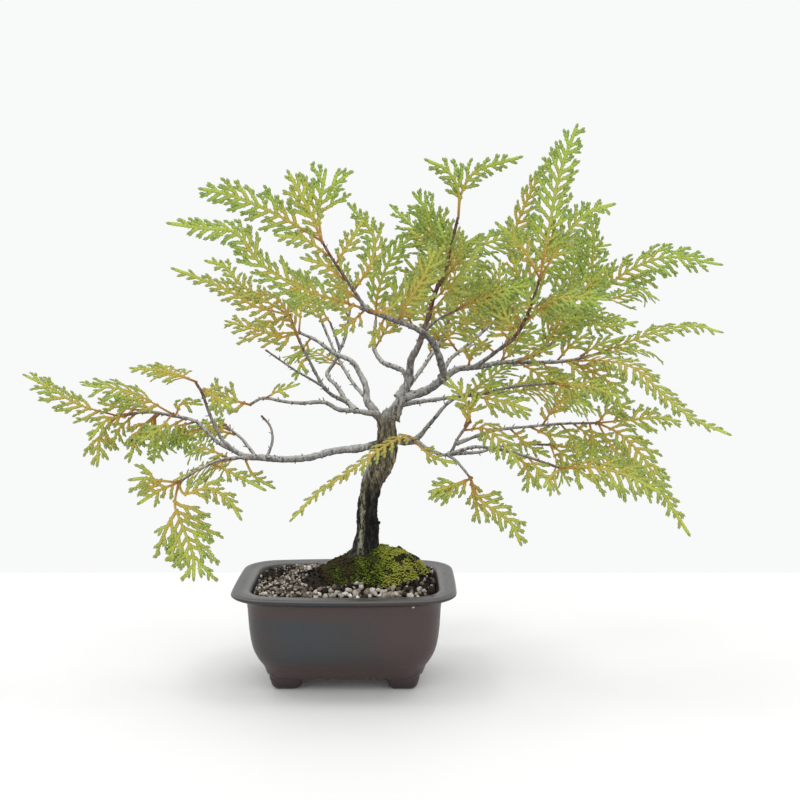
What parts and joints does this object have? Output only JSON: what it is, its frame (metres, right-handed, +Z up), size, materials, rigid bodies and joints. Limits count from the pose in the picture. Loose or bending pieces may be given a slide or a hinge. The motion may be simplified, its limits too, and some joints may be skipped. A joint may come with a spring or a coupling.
{
  "type": "hinoki cypress bonsai in a footed ceramic pot",
  "caption": "Small leaning conifer with flat scale-leaf sprays on a bare forked trunk, in a wide-rimmed ceramic pot with soil and moss.",
  "frame": {"origin": "centre of the bounding box's base, on the surface the pot stands on", "axes": "+Z up the trunk, +X along the pot's long side towards the wide side of the crown, +Y away from the viewer"},
  "size_m": [0.38, 0.1692, 0.2985],
  "materials": {
    "pot": "unglazed dark stoneware, satin",
    "net": "matte",
    "soil": "rough gravel",
    "moss": "velvety",
    "bark": "rough, flaking",
    "leaf_green": "waxy matte",
    "leaf_golden": "waxy matte"
  },
  "bodies": {
    "root": {"pot": "pot", "drain_net_left": "net", "drain_net_right": "net", "soil": "soil", "moss": "moss", "wood": "bark", "spray_far_left": "leaf_green", "spray_far_left_upper": "leaf_green", "spray_far_left_under": "leaf_golden", "spray_left_crest": "leaf_green", "spray_left_fan": "leaf_green", "spray_left_hollow": "leaf_green", "spray_left_shelf": "leaf_green", "spray_mid_left_end": "leaf_golden", "spray_mid_left_small": "leaf_green", "spray_crest_left": "leaf_green", "spray_crest_right": "leaf_green", "spray_wing_left": "leaf_green", "spray_tall_left": "leaf_green", "spray_arm_left": "leaf_green", "spray_arch_left": "leaf_golden", "spray_golden": "leaf_golden", "spray_inner_side": "leaf_green", "spray_inner_top": "leaf_green", "spray_back_left_top": "leaf_green", "spray_back_left_low": "leaf_green", "spray_mast_top": "leaf_green", "spray_mast_left": "leaf_green", "spray_mast_right": "leaf_green", "spray_mast_fore": "leaf_green", "spray_mast_arm": "leaf_green", "spray_twist_side": "leaf_green", "spray_sweep_fore": "leaf_green", "spray_plume": "leaf_green", "spray_fore_shelf": "leaf_green", "spray_back_crown": "leaf_green", "spray_back_middle": "leaf_green", "spray_back_shelf": "leaf_green", "spray_behind_top": "leaf_green", "spray_behind_shelf": "leaf_green", "spray_arm_right": "leaf_green", "spray_rise_fore": "leaf_green", "spray_rise_top": "leaf_green", "spray_right_tip": "leaf_green", "spray_right_sweep": "leaf_green", "spray_right_upper": "leaf_green", "spray_right_under": "leaf_green", "spray_skirt_right": "leaf_green", "spray_skirt_fore": "leaf_green", "spray_brown_rise": "leaf_golden", "spray_near_drop": "leaf_green", "spray_near_rise": "leaf_green", "spray_near_middle": "leaf_green", "spray_near_end": "leaf_green", "spray_skirt_back": "leaf_green", "spray_hanging": "leaf_green", "spray_across_trunk": "leaf_golden", "spray_back_right_end": "leaf_green", "spray_back_right_rise": "leaf_green"}
  },
  "joints": []
}
